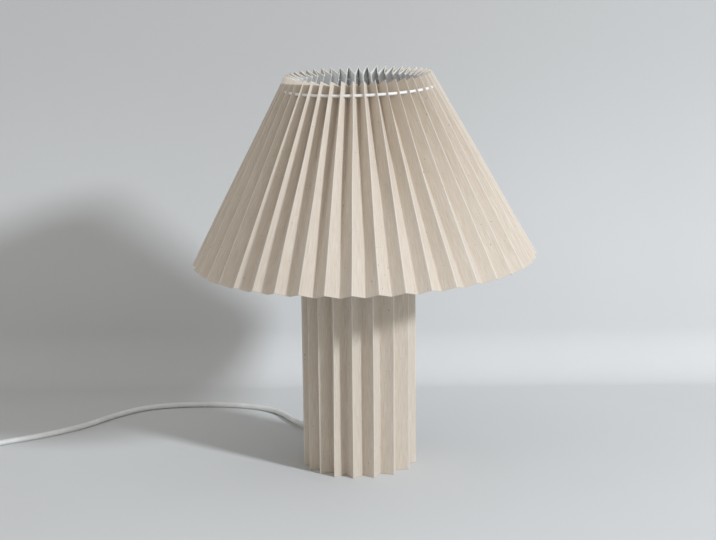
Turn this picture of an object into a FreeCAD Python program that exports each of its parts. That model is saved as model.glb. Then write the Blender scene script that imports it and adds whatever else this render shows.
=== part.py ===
"""Pleated paper table lamp: a pleated drum column with a pleated cone shade, all pieces separate.

Millimetres, +Z up, the floor at Z = 0 under the column's axis, -Y towards the viewer.
The driving dimensions are in the spreadsheet "Sizes"; the pieces take theirs from its cells.
"""
import FreeCAD, Part
import math
import os
from types import SimpleNamespace

import Sketcher

Vector = FreeCAD.Vector
UP = Vector(0, 0, 1)
ALONG_X = Vector(1, 0, 0)
ALONG_Y = Vector(0, 1, 0)

# name, value (millimetres, degrees or a count), what it is
DRIVING = (
    # folded sheet, common to column and shade
    ("sheet_thickness", 0.6, "paper laminate of both pleated sheets"),
    ("pleat_width", 13.0, "from one fold to the next across a pleat's face"),
    # shade
    ("shade_foot_radius", 150.0, "outer folds at the lower rim"),
    ("shade_head_radius", 63.5, "outer folds at the upper rim"),
    ("shade_foot_level", 186.0, "height of the outer folds at the lower rim"),
    ("shade_head_level", 347.0, "height of the outer folds at the upper rim"),
    ("shade_pleats", 45, "count"),
    ("shade_fold_turn", -94.0, "azimuth of the first outer fold, degrees"),
    ("shade_bunching", 0.05, "how much wider the pleats are at the front"),
    ("shade_lean", 1.5, "the shade frame is bent this far off level, degrees"),
    ("shade_shift", 4.5, "the shade frame sits this far off the axis, towards +X"),
    # column
    ("column_height", 195.0, "pleated sheet, from the floor"),
    ("column_pleats", 18, "count"),
    ("column_fold_turn", -85.0, "azimuth of the first outer fold, degrees"),
    ("column_bunching", 0.2, "how much wider the pleats are on the +X side"),
    ("tube_radius", 37.6, "card tube, outside"),
    ("tube_wall", 2.2, "card tube"),
    ("fold_gap", 0.17, "card tube to the deepest inner folds"),
    ("seat_gap", 0.2, "glued or pressed seats, radial"),
    # foot
    ("pad_thickness", 2.0, "felt pad"),
    ("pad_inset", 2.0, "pad rim inside the base plate's rim"),
    ("plate_thickness", 3.0, "base plate"),
    ("ballast_gap", 0.3, "steel disc to the gland's nut"),
    ("ballast_thickness", 9.2, "steel disc"),
    ("slot_width", 9.0, "wire slot in the steel disc"),
    ("slot_reach", 4.5, "inner end of the wire slot, past the axis"),
    ("screw_inset", 8.0, "base screws inside the steel disc's rim"),
    ("screw_count", 3, "base screws"),
    ("screw_radius", 2.0, "base screws, shank"),
    ("screw_head", 4.0, "base screws, head radius"),
    ("screw_head_height", 2.0, "base screws, countersunk head"),
    ("screw_length", 12.0, "base screws, overall"),
    ("screw_clearance", 0.2, "round the shank in the base plate"),
    ("clamp_length", 26.0, "cord clamp bar"),
    ("clamp_width", 7.0, "cord clamp bar"),
    ("clamp_thickness", 2.0, "cord clamp bar"),
    ("clamp_inset", 2.0, "cord clamp bar inside the steel disc's rim"),
    ("clamp_screw_spacing", 18.0, "cord clamp screws"),
    ("clamp_screw_radius", 1.5, "cord clamp screws"),
    ("clamp_screw_head", 2.8, "cord clamp screws"),
    # cord and gland
    ("cord_diameter", 5.0, "mains cord"),
    ("cord_exit_turn", 118.0, "the cord leaves by the inner fold nearest to this azimuth, degrees"),
    ("gland_level", 11.5, "gland axis above the floor"),
    ("gland_bore_gap", 0.3, "round the cord in the gland, radial"),
    ("gland_thread", 4.4, "gland thread radius"),
    ("gland_flange_radius", 6.0, "gland flange"),
    ("gland_flange_thickness", 2.0, "gland flange"),
    ("gland_boot_reach", 15.6, "tip of the tapered boot outside the column's outer folds"),
    ("gland_boot_root", 4.6, "boot radius at the flange"),
    ("gland_boot_tip", 3.4, "boot radius at its tip"),
    ("gland_hole_gap", 0.6, "round the gland in the tube and the pleats"),
    ("gland_nut_flats", 11.0, "across flats"),
    ("gland_nut_height", 4.0, "gland nut"),
    ("gland_nut_gap", 1.1, "gland nut's flat face to the tube's curved wall"),
    # head of the column
    ("cap_inset", 1.0, "cap disc's rim inside the outer folds"),
    ("cap_thickness", 5.0, "cap disc"),
    ("cap_spigot_depth", 8.0, "cap spigot inside the tube"),
    ("nipple_radius", 4.9, "threaded tube, outside"),
    ("nipple_bore", 3.3, "threaded tube, bore radius"),
    ("nipple_below", 10.0, "threaded tube, below the cap's spigot"),
    ("nipple_above", 11.0, "threaded tube, above the cap"),
    ("nipple_gap", 0.15, "threaded tube in its holes"),
    ("lead_bend", 16.0, "inner lead where it turns up, radius"),
    ("washer_radius", 10.0, "washer under the cap"),
    ("washer_thickness", 1.6, "washer under the cap"),
    ("nut_flats", 17.0, "nut under the cap, across flats"),
    ("nut_height", 4.5, "nut under the cap"),
    # lamp holder
    ("holder_radius", 14.0, "lamp holder's outside and its outer thread"),
    ("holder_base_height", 24.0, "lower half of the lamp holder"),
    ("holder_shell_height", 38.0, "upper half of the lamp holder"),
    ("holder_wall", 1.9, "lamp holder wall"),
    ("holder_floor", 12.0, "threaded floor of the lower half"),
    ("holder_neck", 11.0, "lower half where it stands on the cap"),
    ("holder_neck_height", 6.0, "tapered neck of the lower half"),
    ("holder_spigot", 4.0, "upper half enters the lower half this far"),
    ("flange_radius", 18.0, "shoulder that carries the shade"),
    ("flange_rise", 12.0, "shoulder's underside above the joint of the halves"),
    ("flange_thickness", 3.0, "shoulder"),
    ("mouth_radius", 8.7, "mouth of the lamp holder"),
    ("core_thickness", 9.0, "contact carrier"),
    ("core_rise", 3.0, "contact carrier above the joint of the halves"),
    ("core_stop", 1.6, "thick wall of the upper half, above the carrier"),
    ("sleeve_radius", 7.2, "threaded metal sleeve, bore"),
    ("sleeve_wall", 0.4, "threaded metal sleeve"),
    ("sleeve_height", 18.0, "threaded metal sleeve"),
    ("contact_radius", 2.5, "centre contact"),
    ("contact_rise", 3.6, "centre contact above the carrier"),
    ("contact_head", 1.5, "head of the centre contact"),
    ("contact_foot", 2.0, "centre contact below the carrier"),
    ("terminal_spread", 7.5, "terminal screws, from the axis"),
    ("terminal_radius", 2.25, "terminal screws, head"),
    ("terminal_height", 1.8, "terminal screws, head"),
    ("terminal_groove", 0.7, "terminal screws, driver slot"),
    # shade frame
    ("fitter_radius", 24.0, "fitter ring"),
    ("fitter_thickness", 2.0, "fitter ring"),
    ("turning_gap", 0.3, "round the holder's thread, radial"),
    ("wire_radius", 1.25, "arms and top ring"),
    ("arm_count", 3, "arms of the shade frame"),
    ("arm_inner_reach", 20.2, "inner end of an arm, from the axis"),
    ("arm_bend_reach", 28.0, "where an arm turns up, from the axis"),
    ("arm_bend", 6.0, "radius of that turn"),
    ("arm_weld_gap", 0.1, "end of an arm from the top ring"),
    ("ring_drop", 12.0, "top ring below the upper rim"),
    ("ring_depth_share", 0.35, "top ring inwards of the outer folds, share of the pleat depth"),
    ("ring_hole_gap", 0.35, "round the wire in the pleats"),
    ("collar_radius", 18.6, "threaded collar on the fitter ring"),
    ("collar_height", 7.0, "threaded collar"),
    ("collar_notches", 12, "grip notches of the collar"),
    ("collar_notch", 1.5, "grip notch, radius"),
    ("collar_notch_reach", 19.2, "middle of a grip notch, from the axis"),
    ("collar_chamfer", 1.0, "upper rim of the collar"),
    # bulb
    ("bulb_radius", 22.5, "opal dome"),
    ("bulb_wall", 1.0, "opal dome"),
    ("bulb_cap_radius", 6.9, "threaded cap of the bulb"),
    ("bulb_cap_height", 16.5, "threaded cap of the bulb"),
    ("bulb_cap_wall", 0.4, "threaded cap of the bulb"),
    ("bulb_seat_gap", 0.1, "tip above the centre contact"),
    ("bulb_tip_height", 1.5, "tip contact"),
    ("bulb_insulator_height", 2.8, "insulator of the cap"),
    ("bulb_insulator_radius", 5.7, "insulator where it enters the cap"),
    ("bulb_root_depth", 0.6, "depth of the cap's rolled thread"),
    ("bulb_rib_count", 4, "turns of the rolled thread"),
    ("bulb_housing_height", 21.0, "plastic housing"),
    ("bulb_housing_neck", 8.1, "plastic housing at its foot"),
    ("bulb_housing_waist", 14.0, "plastic housing, lower third"),
    ("bulb_housing_shoulder", 19.1, "plastic housing, upper third"),
    ("bulb_housing_rim", 21.1, "plastic housing at the dome"),
    ("bulb_housing_wall", 1.5, "plastic housing"),
    ("bulb_dome_rise", 9.5, "dome's centre above the housing"),
    ("led_board_radius", 18.5, "board under the dome"),
    ("led_board_thickness", 1.6, "board under the dome"),
    # switch
    ("switch_x", -362.0, "switch, middle"),
    ("switch_y", -38.0, "switch, middle"),
    ("switch_length", 62.0, "switch, along the cord"),
    ("switch_width", 27.0, "switch, across"),
    ("switch_parting", 9.0, "joint between the halves"),
    ("switch_height", 19.0, "switch, top face"),
    ("switch_wall", 2.0, "switch shells"),
    ("switch_end", 8.0, "solid ends of the switch shells"),
    ("switch_corner", 6.0, "vertical corners of the switch"),
    ("switch_throat", 2.2, "cord's way through the ends of the shells, radius"),
    ("switch_screw_spread", 8.6, "switch screws, to either side"),
    ("switch_screw_inset", 4.0, "switch screws, from the ends"),
    ("contact_length", 6.9, "switch contacts, along the cord"),
    ("contact_width", 5.5, "switch contacts, across"),
    ("contact_height", 4.5, "switch contacts"),
    ("contact_offset", 12.0, "switch contacts, from the middle"),
    ("rocker_length", 17.2, "rocker, along the cord"),
    ("rocker_width", 11.0, "rocker, across"),
    ("rocker_gap", 0.6, "beside the rocker"),
    ("rocker_end_gap", 1.0, "before and behind the rocker"),
    ("rocker_throw", 14.0, "rocker's travel, degrees"),
    ("rocker_pivot", 15.0, "rocker's pivot above the floor"),
    ("rocker_pin_radius", 1.5, "rocker's pivot pins"),
    ("rocker_pin_gap", 0.3, "round the pivot pins"),
    ("rocker_ear", 2.0, "ears in the cover that hold the pivot pins, thickness"),
    ("rocker_ear_length", 7.5, "ears, along the cord"),
    ("rocker_belly", 3.0, "rocker below its pivot"),
    ("rocker_skirt", 0.5, "rocker's ends below its pivot"),
    # plug
    ("plug_x", -463.8, "plug, middle"),
    ("plug_y", -34.0, "plug, cord end"),
    ("plug_width", 35.0, "plug at its face"),
    ("plug_thickness", 13.6, "plug"),
    ("plug_length", 42.0, "plug body without its boot"),
    ("plug_boot", 20.0, "plug's tapered boot"),
    ("plug_boot_tip", 3.3, "boot radius at the cord"),
    ("plug_neck", 5.0, "plug where the boot joins, half width and boot radius"),
    ("plug_taper", 18.0, "plug from its neck to its full width"),
    ("plug_face_edge", 4.0, "plug narrows this far behind its face"),
    ("plug_round", 2.5, "rounded edges of the plug"),
    ("pin_radius", 2.0, "plug pins"),
    ("pin_length", 19.0, "plug pins"),
    ("pin_spacing", 18.6, "plug pins"),
    ("pin_seat", 6.0, "part of a pin inside the plug"),
    # coil
    ("coil_x", -424.0, "coil, middle"),
    ("coil_y", -71.5, "coil, middle"),
    ("coil_radius", 30.0, "coil, middle of its turns"),
    ("coil_turns", 6.25, "turns, in two layers"),
    ("coil_step", 5.6, "from one turn to the next, across and up"),
    ("coil_lift", 0.9, "the tie under the coil lifts it this far"),
    ("tie_width", 8.0, "strap round the coil"),
    ("tie_thickness", 0.7, "strap round the coil"),
    ("tie_gap", 0.3, "strap to the cord inside it"),
    ("tie_turn", 35.0, "azimuth of the strap, from the coil's middle, degrees"),
)

doc = FreeCAD.newDocument("PleatedLamp")
sheet = doc.addObject("Spreadsheet::Sheet", "Sizes")


def write_row(row, name, value, note):
    sheet.set(f"A{row}", name)
    sheet.set(f"B{row}", str(value))
    sheet.set(f"C{row}", note)
    sheet.setAlias(f"B{row}", name)


for row, (name, value, note) in enumerate(DRIVING, start=1):
    write_row(row, name, value, note)
doc.recompute()


class Size:
    """A number worked out from the sheet, and the expression that binds a property to it."""

    def __init__(self, number, text):
        self.number = number
        self.text = text

    def __float__(self):
        return float(self.number)

    def __add__(self, other):
        return Size(self.number + float(other), f"({self.text} + {wording(other)})")

    def __sub__(self, other):
        return Size(self.number - float(other), f"({self.text} - {wording(other)})")

    def __mul__(self, other):
        return Size(self.number * float(other), f"({self.text} * {wording(other)})")

    def __truediv__(self, other):
        return Size(self.number / float(other), f"({self.text} / {wording(other)})")

    def __neg__(self):
        return Size(-self.number, f"(-1 * {self.text})")


def wording(value):
    return value.text if isinstance(value, Size) else repr(value)


mm = SimpleNamespace(**{name: Size(sheet.get(name), f"Sizes.{name}") for name, _, _ in DRIVING})
ZERO = Size(0.0, "0")


def fold_azimuths(pleats, first, bunching, wide_side):
    """Azimuths of the folds in radians, outer and inner in turn, a little wider on one side."""
    azimuths = []
    for k in range(2 * pleats):
        even = math.radians(first) + math.pi * k / pleats
        azimuths.append(even + bunching * math.sin(even - wide_side))
    return azimuths


def radius_round_tube(azimuths):
    """Radius of the outer folds that brings the deepest inner folds just clear of the card tube."""
    inner = float(mm.tube_radius + mm.fold_gap + mm.sheet_thickness * 2)
    narrowest = min(after - before for before, after in zip(azimuths, azimuths[2:])) / 2
    depth = math.sqrt(float(mm.pleat_width) ** 2 - (inner * math.sin(narrowest)) ** 2)
    return inner * math.cos(narrowest) + depth


# The column's folds, and the radius that they take round the tube
column_azimuths = fold_azimuths(int(float(mm.column_pleats)), float(mm.column_fold_turn),
                                float(mm.column_bunching), 0.0)
write_row(len(DRIVING) + 1, "column_radius", radius_round_tube(column_azimuths), "outer folds, worked out")
doc.recompute()
column_radius = Size(sheet.get("column_radius"), "Sizes.column_radius")

# Levels and radii that several pieces share
tube_bore = mm.tube_radius - mm.tube_wall
gland_nut_reach = tube_bore - mm.gland_nut_gap - mm.gland_nut_height
gland_reach = column_radius + mm.gland_boot_reach
ballast_radius = gland_nut_reach - mm.ballast_gap
screw_circle = ballast_radius - mm.screw_inset
clamp_offset = ballast_radius - mm.clamp_inset - mm.clamp_width / 2
cap_radius = column_radius - mm.cap_inset
plate_level = mm.pad_thickness
ballast_level = plate_level + mm.plate_thickness
ballast_top = ballast_level + mm.ballast_thickness
cap_level = mm.column_height
cap_top = cap_level + mm.cap_thickness
spigot_level = cap_level - mm.cap_spigot_depth
joint_level = cap_top + mm.holder_base_height
flange_level = joint_level + mm.flange_rise
fitter_level = flange_level + mm.flange_thickness
collar_level = fitter_level + mm.fitter_thickness
holder_top = joint_level + mm.holder_shell_height
core_level = joint_level + mm.core_rise
core_top = core_level + mm.core_thickness
contact_top = core_top + mm.contact_rise
bulb_tip_level = contact_top + mm.bulb_seat_gap
bulb_insulator_level = bulb_tip_level + mm.bulb_tip_height
bulb_cap_level = bulb_insulator_level + mm.bulb_insulator_height
bulb_housing_level = bulb_cap_level + mm.bulb_cap_height
bulb_dome_level = bulb_housing_level + mm.bulb_housing_height
cord_radius = mm.cord_diameter / 2
PARTS = {}


# ---------------------------------------------------------------- general makers

def keep(node, piece):
    """Gives a finished sub-part its label and puts it on the list of nodes."""
    piece.Label = node
    PARTS[node] = piece
    return piece


def blank_of(node):
    """Takes a first form off the list, to be worked on further under another label."""
    piece = PARTS.pop(node)
    piece.Label = node + "_blank"
    return piece


def bind(piece, **sizes):
    for prop, size in sizes.items():
        piece.setExpression(prop, wording(size))


def lift(piece, level, x=None, y=None):
    """Sets a piece's height, and its place across the floor where one is given."""
    piece.setExpression("Placement.Base.z", wording(level))
    if x is not None:
        piece.setExpression("Placement.Base.x", wording(x))
    if y is not None:
        piece.setExpression("Placement.Base.y", wording(y))


def origin_plane(body, role):
    return next(item for item in body.Origin.OriginFeatures if item.Role == role)


def new_sketch(body, role, offset=None):
    sketch = body.newObject("Sketcher::SketchObject", "Outline")
    sketch.AttachmentSupport = [(origin_plane(body, role), "")]
    sketch.MapMode = "FlatFace"
    if offset is not None:
        sketch.setExpression("AttachmentOffset.Base.z", offset.text)
    return sketch


def pin_point(sketch, line, end, across, up):
    """Holds one end of a line at (across, up) from the sketch's origin."""
    for kind, size, axis in (("DistanceX", across, -2), ("DistanceY", up, -1)):
        if abs(float(size)) < 1e-9:
            sketch.addConstraint(Sketcher.Constraint("PointOnObject", line, end, axis))
        else:
            index = sketch.addConstraint(Sketcher.Constraint(kind, -1, 1, line, end, float(size)))
            sketch.setExpression(f"Constraints[{index}]", wording(size))


def outline(sketch, corners):
    """A closed outline of straight lines through corners given as (across, up)."""
    points = [Vector(float(across), float(up), 0) for across, up in corners]
    count = len(points)
    for i in range(count):
        sketch.addGeometry(Part.LineSegment(points[i], points[(i + 1) % count]), False)
    for i in range(count):
        sketch.addConstraint(Sketcher.Constraint("Coincident", i, 2, (i + 1) % count, 1))
    for i, (across, up) in enumerate(corners):
        pin_point(sketch, i, 1, across, up)


def circle_at(sketch, across, up, radius):
    centre = Vector(float(across), float(up), 0)
    index = sketch.addGeometry(Part.Circle(centre, Vector(0, 0, 1), float(radius)), False)
    pin_point(sketch, index, 3, across, up)
    size = sketch.addConstraint(Sketcher.Constraint("Radius", index, float(radius)))
    sketch.setExpression(f"Constraints[{size}]", wording(radius))


def turned(node, corners):
    """A turned piece: corners (radius, height) swept once round the piece's own Z axis."""
    body = doc.addObject("PartDesign::Body", node)
    sketch = new_sketch(body, "XZ_Plane")
    outline(sketch, corners)
    turn = body.newObject("PartDesign::Revolution", "Turn")
    turn.Profile = sketch
    turn.ReferenceAxis = (sketch, ["V_Axis"])
    turn.Angle = 360.0
    body.Tip = turn
    return keep(node, body)


def ring_corners(inner, outer, low, high):
    return [(inner, low), (outer, low), (outer, high), (inner, high)]


def padded(node, corners, low, high, role="XY_Plane"):
    """A plate of straight-sided outline between two levels of its own axis."""
    body = doc.addObject("PartDesign::Body", node)
    sketch = new_sketch(body, role, low)
    outline(sketch, corners)
    pad = body.newObject("PartDesign::Pad", "Pad")
    pad.Profile = sketch
    pad.setExpression("Length", (high - low).text)
    body.Tip = pad
    return keep(node, body)


def pocket(body, sketch, copies=None):
    """Cuts a sketch right through its body both ways, once or copied round the Z axis."""
    doc.recompute()
    before = body.Shape.Volume
    cut = body.newObject("PartDesign::Pocket", "Cut")
    cut.Profile = sketch
    cut.Type = "ThroughAll"
    cut.Midplane = True
    body.Tip = cut
    if copies is not None:
        pattern = body.newObject("PartDesign::PolarPattern", "Round")
        pattern.Originals = [cut]
        pattern.Axis = (sketch, ["N_Axis"])
        pattern.Angle = 360.0
        pattern.setExpression("Occurrences", copies.text)
        body.Tip = pattern
    doc.recompute()
    if body.Shape.Volume >= before - 1e-6:
        raise ValueError(f"{body.Label}: a pocket cut nothing")


def round_edges(body, radius, wanted):
    """Rounds the edges of a body's last feature that the test picks."""
    doc.recompute()
    tip = body.Tip
    names = [f"Edge{i}" for i, edge in enumerate(tip.Shape.Edges, start=1) if wanted(edge)]
    fillet = body.newObject("PartDesign::Fillet", "Rounding")
    fillet.Base = (tip, names)
    fillet.setExpression("Radius", wording(radius))
    body.Tip = fillet


def cylinder(name, radius, height, level=ZERO, x=ZERO, y=ZERO, along=UP):
    piece = doc.addObject("Part::Cylinder", name)
    bind(piece, Radius=radius, Height=height)
    piece.Placement = FreeCAD.Placement(Vector(), FreeCAD.Rotation(UP, along))
    lift(piece, level, x, y)
    return piece


def cone(name, low_radius, high_radius, height, level=ZERO, x=ZERO, y=ZERO, along=UP):
    piece = doc.addObject("Part::Cone", name)
    bind(piece, Radius1=low_radius, Radius2=high_radius, Height=height)
    piece.Placement = FreeCAD.Placement(Vector(), FreeCAD.Rotation(UP, along))
    lift(piece, level, x, y)
    return piece


def block(name, length, width, height, x, y, level):
    """A block centred on (x, y), standing on a level."""
    piece = doc.addObject("Part::Box", name)
    bind(piece, Length=length, Width=width, Height=height)
    lift(piece, level, x - length / 2, y - width / 2)
    return piece


def fused(name, pieces):
    piece = doc.addObject("Part::MultiFuse", name)
    piece.Shapes = pieces
    return piece


def group(node, pieces):
    """Several separate solids under one node."""
    piece = doc.addObject("Part::Compound", node)
    piece.Links = pieces
    return keep(node, piece)


def cut(node, base, tools):
    """A piece with tools cut away; several tools are joined first."""
    piece = doc.addObject("Part::Cut", node)
    piece.Base = base
    piece.Tool = tools[0] if len(tools) == 1 else fused(node + "_tools", tools)
    return keep(node, piece)


def hex_nut(node, flats, bore, height, level):
    blank = doc.addObject("Part::Prism", node + "_blank")
    blank.Polygon = 6
    bind(blank, Circumradius=flats / (2 * math.cos(math.radians(30))), Height=height)
    lift(blank, level)
    chamfer = cone(node + "_chamfer", flats / 2 + height, flats / 2 * 0.96, height + flats * 0.02, level)
    body = doc.addObject("Part::Common", node + "_body")
    body.Base = blank
    body.Tool = chamfer
    return cut(node, body, [cylinder(node + "_bore", bore, height * 3, level - height)])


def shaped(node, shape, placement=None):
    """A piece whose shape is worked out point by point from the sheet's sizes."""
    piece = doc.addObject("Part::Feature", node)
    piece.Shape = shape
    if placement is not None:
        piece.Placement = placement
    return keep(node, piece)


# ---------------------------------------------------------------- tubes along a path

def bulge_point(start, heading, end):
    """Middle of the arc that leaves start along heading and arrives at end."""
    chord = end - start
    across = chord * (1 / chord.Length)
    side = heading - across * heading.dot(across)
    if side.Length < 1e-9:
        return None
    side.normalize()
    half_turn = math.acos(max(-1.0, min(1.0, heading.dot(across))))
    return (start + end) * 0.5 + side * (chord.Length / 2 * math.tan(half_turn / 2))


def arc_from(start, heading, end):
    middle = bulge_point(start, heading, end)
    if middle is None:
        return Part.LineSegment(start, end).toShape()
    return Part.Arc(start, middle, end).toShape()


def biarc(start, heading, end, arrival):
    """Two tangent arcs from start along heading to end along arrival."""
    gap = end - start
    both = heading + arrival
    a = 2 * (1 - heading.dot(arrival))
    b = gap.dot(both)
    reach = (-b + math.sqrt(b * b + a * gap.dot(gap))) / a if a > 1e-9 else gap.dot(gap) / (2 * b)
    middle = (start + heading * reach + end - arrival * reach) * 0.5
    turn = middle - start
    turned_heading = turn * (2 * heading.dot(turn) / turn.dot(turn)) - heading
    return [arc_from(start, heading, middle), arc_from(middle, turned_heading, end)]


def rounded_path(points, radius=None, share=0.45):
    """Straight runs joined by tangent arcs; without a radius each is as large as its runs allow."""
    edges = []
    radii = []
    place = points[0]
    for before, corner, after in zip(points, points[1:], points[2:]):
        back = before - corner
        ahead = after - corner
        shorter = min(back.Length, ahead.Length)
        back.normalize()
        ahead.normalize()
        half_turn = (math.pi - math.acos(max(-1.0, min(1.0, back.dot(ahead))))) / 2
        reach = share * shorter if radius is None else radius * math.tan(half_turn)
        radii.append(reach / math.tan(half_turn))
        enter = corner + back * reach
        leave = corner + ahead * reach
        edges.append(Part.LineSegment(place, enter).toShape())
        edges.append(arc_from(enter, back * -1, leave))
        place = leave
    edges.append(Part.LineSegment(place, points[-1]).toShape())
    return Part.Wire(edges), radii


def tube_along(path, heading, radius):
    section = Part.Wire([Part.makeCircle(radius, path.OrderedVertexes[0].Point, heading)])
    return path.makePipeShell([section], True, False)


def cord_tube(name, points, radius):
    """A free stretch of cord, its bend radii printed and its volume compared."""
    path, radii = rounded_path(points)
    heading = points[1] - points[0]
    solid = tube_along(path, heading, radius)
    expected = math.pi * radius ** 2 * path.Length
    print(f"{name}: length {path.Length:.1f}, bend radii {', '.join(f'{r:.0f}' for r in radii) or 'none'},"
          f" volume {solid.Volume / expected:.4f} of section times length")
    return solid


# ---------------------------------------------------------------- folded sheets

def folded_sheet(azimuths, foot, head, width, thickness):
    """A closed ring of pleats cut square across its folds.

    foot and head are the outer folds' (radius, level) at the two rims. The inner folds lie as
    deep as the width of the pleats' faces asks for, square to the slope of the outer folds.
    """
    slope = math.atan2(foot[0] - head[0], head[1] - foot[1])
    outward, upward = math.cos(slope), math.sin(slope)
    folds = len(azimuths)
    outer, inner, depths = [], [], []
    for radius, level in (foot, head):
        outer_rim, inner_rim, rim_depths = [], [], []
        for k in range(folds):
            before = azimuths[k] - azimuths[k - 1] if k else azimuths[0] + 2 * math.pi - azimuths[-1]
            after = azimuths[(k + 1) % folds] + (2 * math.pi if k == folds - 1 else 0) - azimuths[k]
            half_pitch = (before + after) / 2
            bend = radius * (1 - math.cos(half_pitch))
            depth = outward * bend + math.sqrt((outward * bend) ** 2 - 2 * radius * bend + width ** 2)
            sink = depth if k % 2 else 0.0
            behind = thickness / math.sin(math.atan2(radius * half_pitch, depth))
            direction = Vector(math.cos(azimuths[k]), math.sin(azimuths[k]), 0)
            outer_rim.append(direction * (radius - sink * outward) + UP * (level - sink * upward))
            inner_rim.append(direction * (radius - (sink + behind) * outward)
                             + UP * (level - (sink + behind) * upward))
            rim_depths.append(depth)
        outer.append(outer_rim)
        inner.append(inner_rim)
        depths.append(sum(rim_depths) / folds)
    faces = []
    for k in range(folds):
        n = (k + 1) % folds
        strips = (
            (outer[0][k], outer[0][n], outer[1][k], outer[1][n]),
            (inner[0][k], inner[0][n], inner[1][k], inner[1][n]),
            (outer[0][k], outer[0][n], inner[0][k], inner[0][n]),
            (outer[1][k], outer[1][n], inner[1][k], inner[1][n]),
        )
        for a, b, c, d in strips:
            faces.append(Part.makeRuledSurface(Part.makeLine(a, b), Part.makeLine(c, d)))
    shell = Part.makeShell(faces)
    shell.sewShape()
    solid = Part.makeSolid(shell)
    if solid.Volume < 0:
        solid.reverse()
    return solid, depths


# ---------------------------------------------------------------- foot of the column

def base_screw_spots(gland_turn):
    """Where the base screws stand, clear of the wire slot."""
    count = int(float(mm.screw_count))
    for spot in range(count):
        turn = math.radians(gland_turn) + math.pi * (2 * spot + 1) / count
        yield spot, screw_circle * math.cos(turn), screw_circle * math.sin(turn)


def slotted(name, pieces, groove):
    """A screw: shank and head joined, with a driver slot."""
    screw = doc.addObject("Part::Cut", name)
    screw.Base = fused(f"{name}_blank", pieces) if len(pieces) > 1 else pieces[0]
    screw.Tool = groove
    return screw


def foot_pieces(gland_turn):
    """Pad, base plate, ballast, their screws and the cord clamp."""
    plate_radius = tube_bore - mm.seat_gap
    turned("foot_pad", [(ZERO, ZERO), (plate_radius - mm.pad_inset, ZERO),
                        (plate_radius - mm.pad_inset, mm.pad_thickness), (ZERO, mm.pad_thickness)])

    hole = mm.screw_radius + mm.screw_clearance
    turned("base_plate", [(ZERO, plate_level), (plate_radius, plate_level),
                          (plate_radius, ballast_level), (ZERO, ballast_level)])
    turned("ballast_disc", [(ZERO, ballast_level), (ballast_radius, ballast_level),
                            (ballast_radius, ballast_top), (ZERO, ballast_top)])
    holes, threads, screws = [], [], []
    for spot, x, y in base_screw_spots(gland_turn):
        holes.append(cylinder(f"plate_hole_{spot}", hole, mm.plate_thickness, plate_level, x, y))
        holes.append(cone(f"plate_sink_{spot}", mm.screw_head + mm.screw_clearance, hole,
                          mm.screw_head_height, plate_level, x, y))
        threads.append(cylinder(f"ballast_thread_{spot}", mm.screw_radius, mm.ballast_thickness,
                                ballast_level, x, y))
        shank = cylinder(f"base_shank_{spot}", mm.screw_radius, mm.screw_length, plate_level, x, y)
        head = cone(f"base_head_{spot}", mm.screw_head, mm.screw_radius, mm.screw_head_height,
                    plate_level, x, y)
        groove = block(f"base_groove_{spot}", mm.screw_head * 2, mm.screw_radius / 2,
                       mm.screw_head_height / 2, x, y, plate_level)
        screws.append(slotted(f"base_screw_{spot}", [shank, head], groove))
    cut("base_plate", blank_of("base_plate"), holes)
    group("base_screws", screws)

    slot_length = ballast_radius + mm.slot_reach + mm.slot_width
    slot = block("wire_slot", slot_length, mm.slot_width, mm.ballast_thickness * 3,
                 slot_length / 2 - mm.slot_reach, ZERO, ballast_level - mm.ballast_thickness)
    clamp_holes = [cylinder(f"clamp_hole_{side}", mm.clamp_screw_radius, mm.ballast_thickness,
                            ballast_top - mm.ballast_thickness * 0.7, clamp_offset,
                            mm.clamp_screw_spacing * side) for side in (-0.5, 0.5)]
    slots = fused("wire_slot_and_holes", [slot] + clamp_holes)
    slots.Placement = FreeCAD.Placement(Vector(), FreeCAD.Rotation(UP, gland_turn))
    cut("ballast_disc", blank_of("ballast_disc"), [slots] + threads)

    bar = block("clamp_blank", mm.clamp_width, mm.clamp_length, mm.clamp_thickness, clamp_offset, ZERO,
                ballast_top)
    drills = [cylinder(f"clamp_drill_{side}", mm.clamp_screw_radius + mm.screw_clearance,
                       mm.clamp_thickness * 3, ballast_top - mm.clamp_thickness, clamp_offset,
                       mm.clamp_screw_spacing * side) for side in (-0.5, 0.5)]
    clamp = cut("cord_clamp", bar, drills)
    clamp.Placement = FreeCAD.Placement(Vector(), FreeCAD.Rotation(UP, gland_turn))

    screws = []
    for side in (-0.5, 0.5):
        y = mm.clamp_screw_spacing * side
        shank = cylinder(f"clamp_shank_{side}", mm.clamp_screw_radius, mm.clamp_thickness * 3,
                         ballast_top - mm.clamp_thickness * 2, clamp_offset, y)
        head = cylinder(f"clamp_head_{side}", mm.clamp_screw_head, mm.clamp_thickness,
                        ballast_top + mm.clamp_thickness, clamp_offset, y)
        groove = block(f"clamp_groove_{side}", mm.clamp_screw_head * 3, mm.clamp_screw_radius / 2,
                       mm.clamp_thickness, clamp_offset, y, ballast_top + mm.clamp_thickness * 1.5)
        screws.append(slotted(f"clamp_screw_{side}", [shank, head], groove))
    clamp_screws = group("clamp_screws", screws)
    clamp_screws.Placement = FreeCAD.Placement(Vector(), FreeCAD.Rotation(UP, gland_turn))


# ---------------------------------------------------------------- column

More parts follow.
